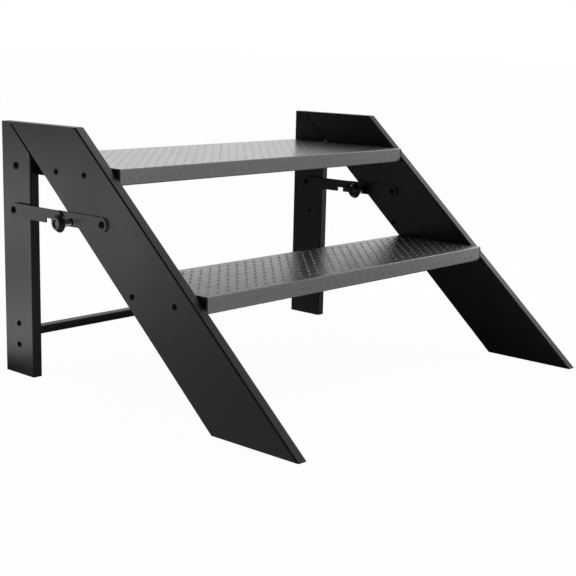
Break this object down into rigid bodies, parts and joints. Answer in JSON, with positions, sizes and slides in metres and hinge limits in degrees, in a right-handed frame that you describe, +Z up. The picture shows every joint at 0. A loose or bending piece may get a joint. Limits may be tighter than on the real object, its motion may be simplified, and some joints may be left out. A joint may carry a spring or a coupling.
{
  "type": "caravan entry step",
  "caption": "Free-standing folding entry step in black aluminium: sloping side stringers, flat treads, hinged rear legs with a crossbar, and lock stays with round pull knobs.",
  "frame": {"origin": "centre of the base of the whole step's box, on the floor", "axes": "+X across the step's width, +Y the way the user climbs, towards the legs, +Z up"},
  "size_m": [0.8574, 0.7378, 0.464],
  "materials": {
    "black_coated_aluminium": "semi-gloss black powder coat, rounded extrusion edges",
    "tread_aluminium": "dark grey to black coated tread extrusion with a fine raised anti-slip pattern",
    "black_steel": "black coated steel flat bar, low gloss",
    "black_fastener": "blackened steel screw heads",
    "zinc_steel": "zinc plated steel",
    "brass": "turned brass threaded insert",
    "turned_aluminium": "turned bare aluminium barrel",
    "knob_plastic": "black moulded knob",
    "black_plastic": "matt black moulded plastic, tread end caps and pivot sleeves"
  },
  "bodies": {
    "frame": {"stringer_left": "black_coated_aluminium", "stringer_right": "black_coated_aluminium", "upper_tread": "tread_aluminium", "lower_tread": "tread_aluminium", "tread_end_caps": "black_plastic", "tread_screws": "black_fastener", "tread_inserts": "brass", "pivot_bolts": "black_fastener", "pivot_inserts": "brass", "stringer_accessory_inserts": "black_fastener", "stringer_stay_bolts": "black_fastener", "stringer_stay_nuts": "zinc_steel"},
    "legs": {"leg_left": "black_coated_aluminium", "leg_right": "black_coated_aluminium", "crossbar": "black_steel", "crossbar_screws": "black_fastener", "crossbar_nuts": "zinc_steel", "pivot_bushes": "black_plastic", "leg_accessory_inserts": "black_fastener", "leg_stay_bolts": "black_fastener", "leg_stay_nuts": "zinc_steel", "leg_stay_spacers": "zinc_steel"},
    "rear_link_left": {"rear_link_left": "black_steel", "knuckle_stud_left": "black_fastener"},
    "front_link_left": {"front_link_left": "black_steel", "knuckle_socket_left": "black_fastener", "plunger_barrel_left": "turned_aluminium", "plunger_nut_left": "black_fastener", "plunger_spring_left": "zinc_steel"},
    "plunger_left": {"plunger_pin_left": "zinc_steel", "pull_knob_left": "knob_plastic"},
    "rear_link_right": {"rear_link_right": "black_steel", "knuckle_stud_right": "black_fastener"},
    "front_link_right": {"front_link_right": "black_steel", "knuckle_socket_right": "black_fastener", "plunger_barrel_right": "turned_aluminium", "plunger_nut_right": "black_fastener", "plunger_spring_right": "zinc_steel"},
    "plunger_right": {"plunger_pin_right": "zinc_steel", "pull_knob_right": "knob_plastic"}
  },
  "joints": [
    {"name": "leg_fold", "type": "hinge", "parent": "frame", "child": "legs", "pos_m": [0, 0.3264, 0.386], "axis": [-1, 0, 0], "range_deg": [0, 48.5]},
    {"name": "rear_link_fold_left", "type": "hinge", "parent": "legs", "child": "rear_link_left", "pos_m": [-0.39673, 0.3264, 0.3065], "axis": [1, 0, 0], "range_deg": [0, 95.1]},
    {"name": "front_link_fold_left", "type": "hinge", "parent": "frame", "child": "front_link_left", "pos_m": [-0.39673, 0.08138, 0.3065], "axis": [-1, 0, 0], "range_deg": [0, 33.7]},
    {"name": "plunger_pull_left", "type": "slide", "parent": "front_link_left", "child": "plunger_left", "axis": [-1, 0, 0], "range_m": [0, 0.008], "stiffness_N_per_m": 900},
    {"name": "rear_link_fold_right", "type": "hinge", "parent": "legs", "child": "rear_link_right", "pos_m": [0.39827, 0.3264, 0.3065], "axis": [1, 0, 0], "range_deg": [0, 95.1]},
    {"name": "front_link_fold_right", "type": "hinge", "parent": "frame", "child": "front_link_right", "pos_m": [0.39827, 0.08138, 0.3065], "axis": [-1, 0, 0], "range_deg": [0, 33.7]},
    {"name": "plunger_pull_right", "type": "slide", "parent": "front_link_right", "child": "plunger_right", "axis": [-1, 0, 0], "range_m": [0, 0.008], "stiffness_N_per_m": 900}
  ],
  "couplings": [
    {"joint": "rear_link_fold_left", "follows": "leg_fold", "ratio": 1.9607},
    {"joint": "front_link_fold_left", "follows": "leg_fold", "ratio": 0.6944},
    {"joint": "rear_link_fold_right", "follows": "leg_fold", "ratio": 1.9607},
    {"joint": "front_link_fold_right", "follows": "leg_fold", "ratio": 0.6944}
  ]
}
